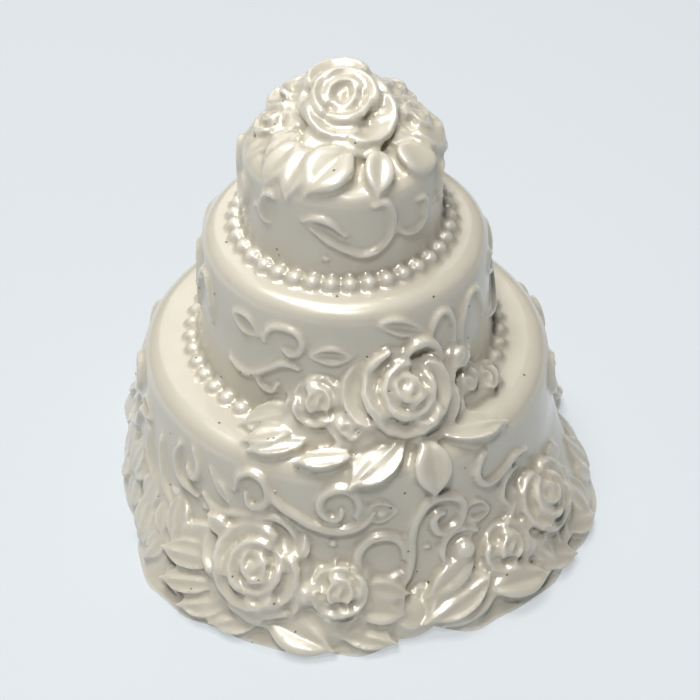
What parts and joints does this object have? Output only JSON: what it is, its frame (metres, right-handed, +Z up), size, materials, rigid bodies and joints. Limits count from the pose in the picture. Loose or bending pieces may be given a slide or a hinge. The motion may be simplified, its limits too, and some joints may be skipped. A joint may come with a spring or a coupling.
{
  "type": "wedding cake figurine",
  "caption": "Small cast figurine of a tiered wedding cake with roses, leaves, scrolls and beads in relief, finished in pearl ivory.",
  "frame": {"origin": "centre of the flat foot, on the axis of the bottom tier", "axes": "+Z up through the tiers, -Y towards the front, with the largest bunch of roses on the middle ledge a little to the right of it"},
  "size_m": [0.0819, 0.0854, 0.0749],
  "materials": {
    "lacquer": "glossy pearl ivory lacquer over cast gypsum"
  },
  "bodies": {
    "root": {"cake": "lacquer"}
  },
  "joints": []
}
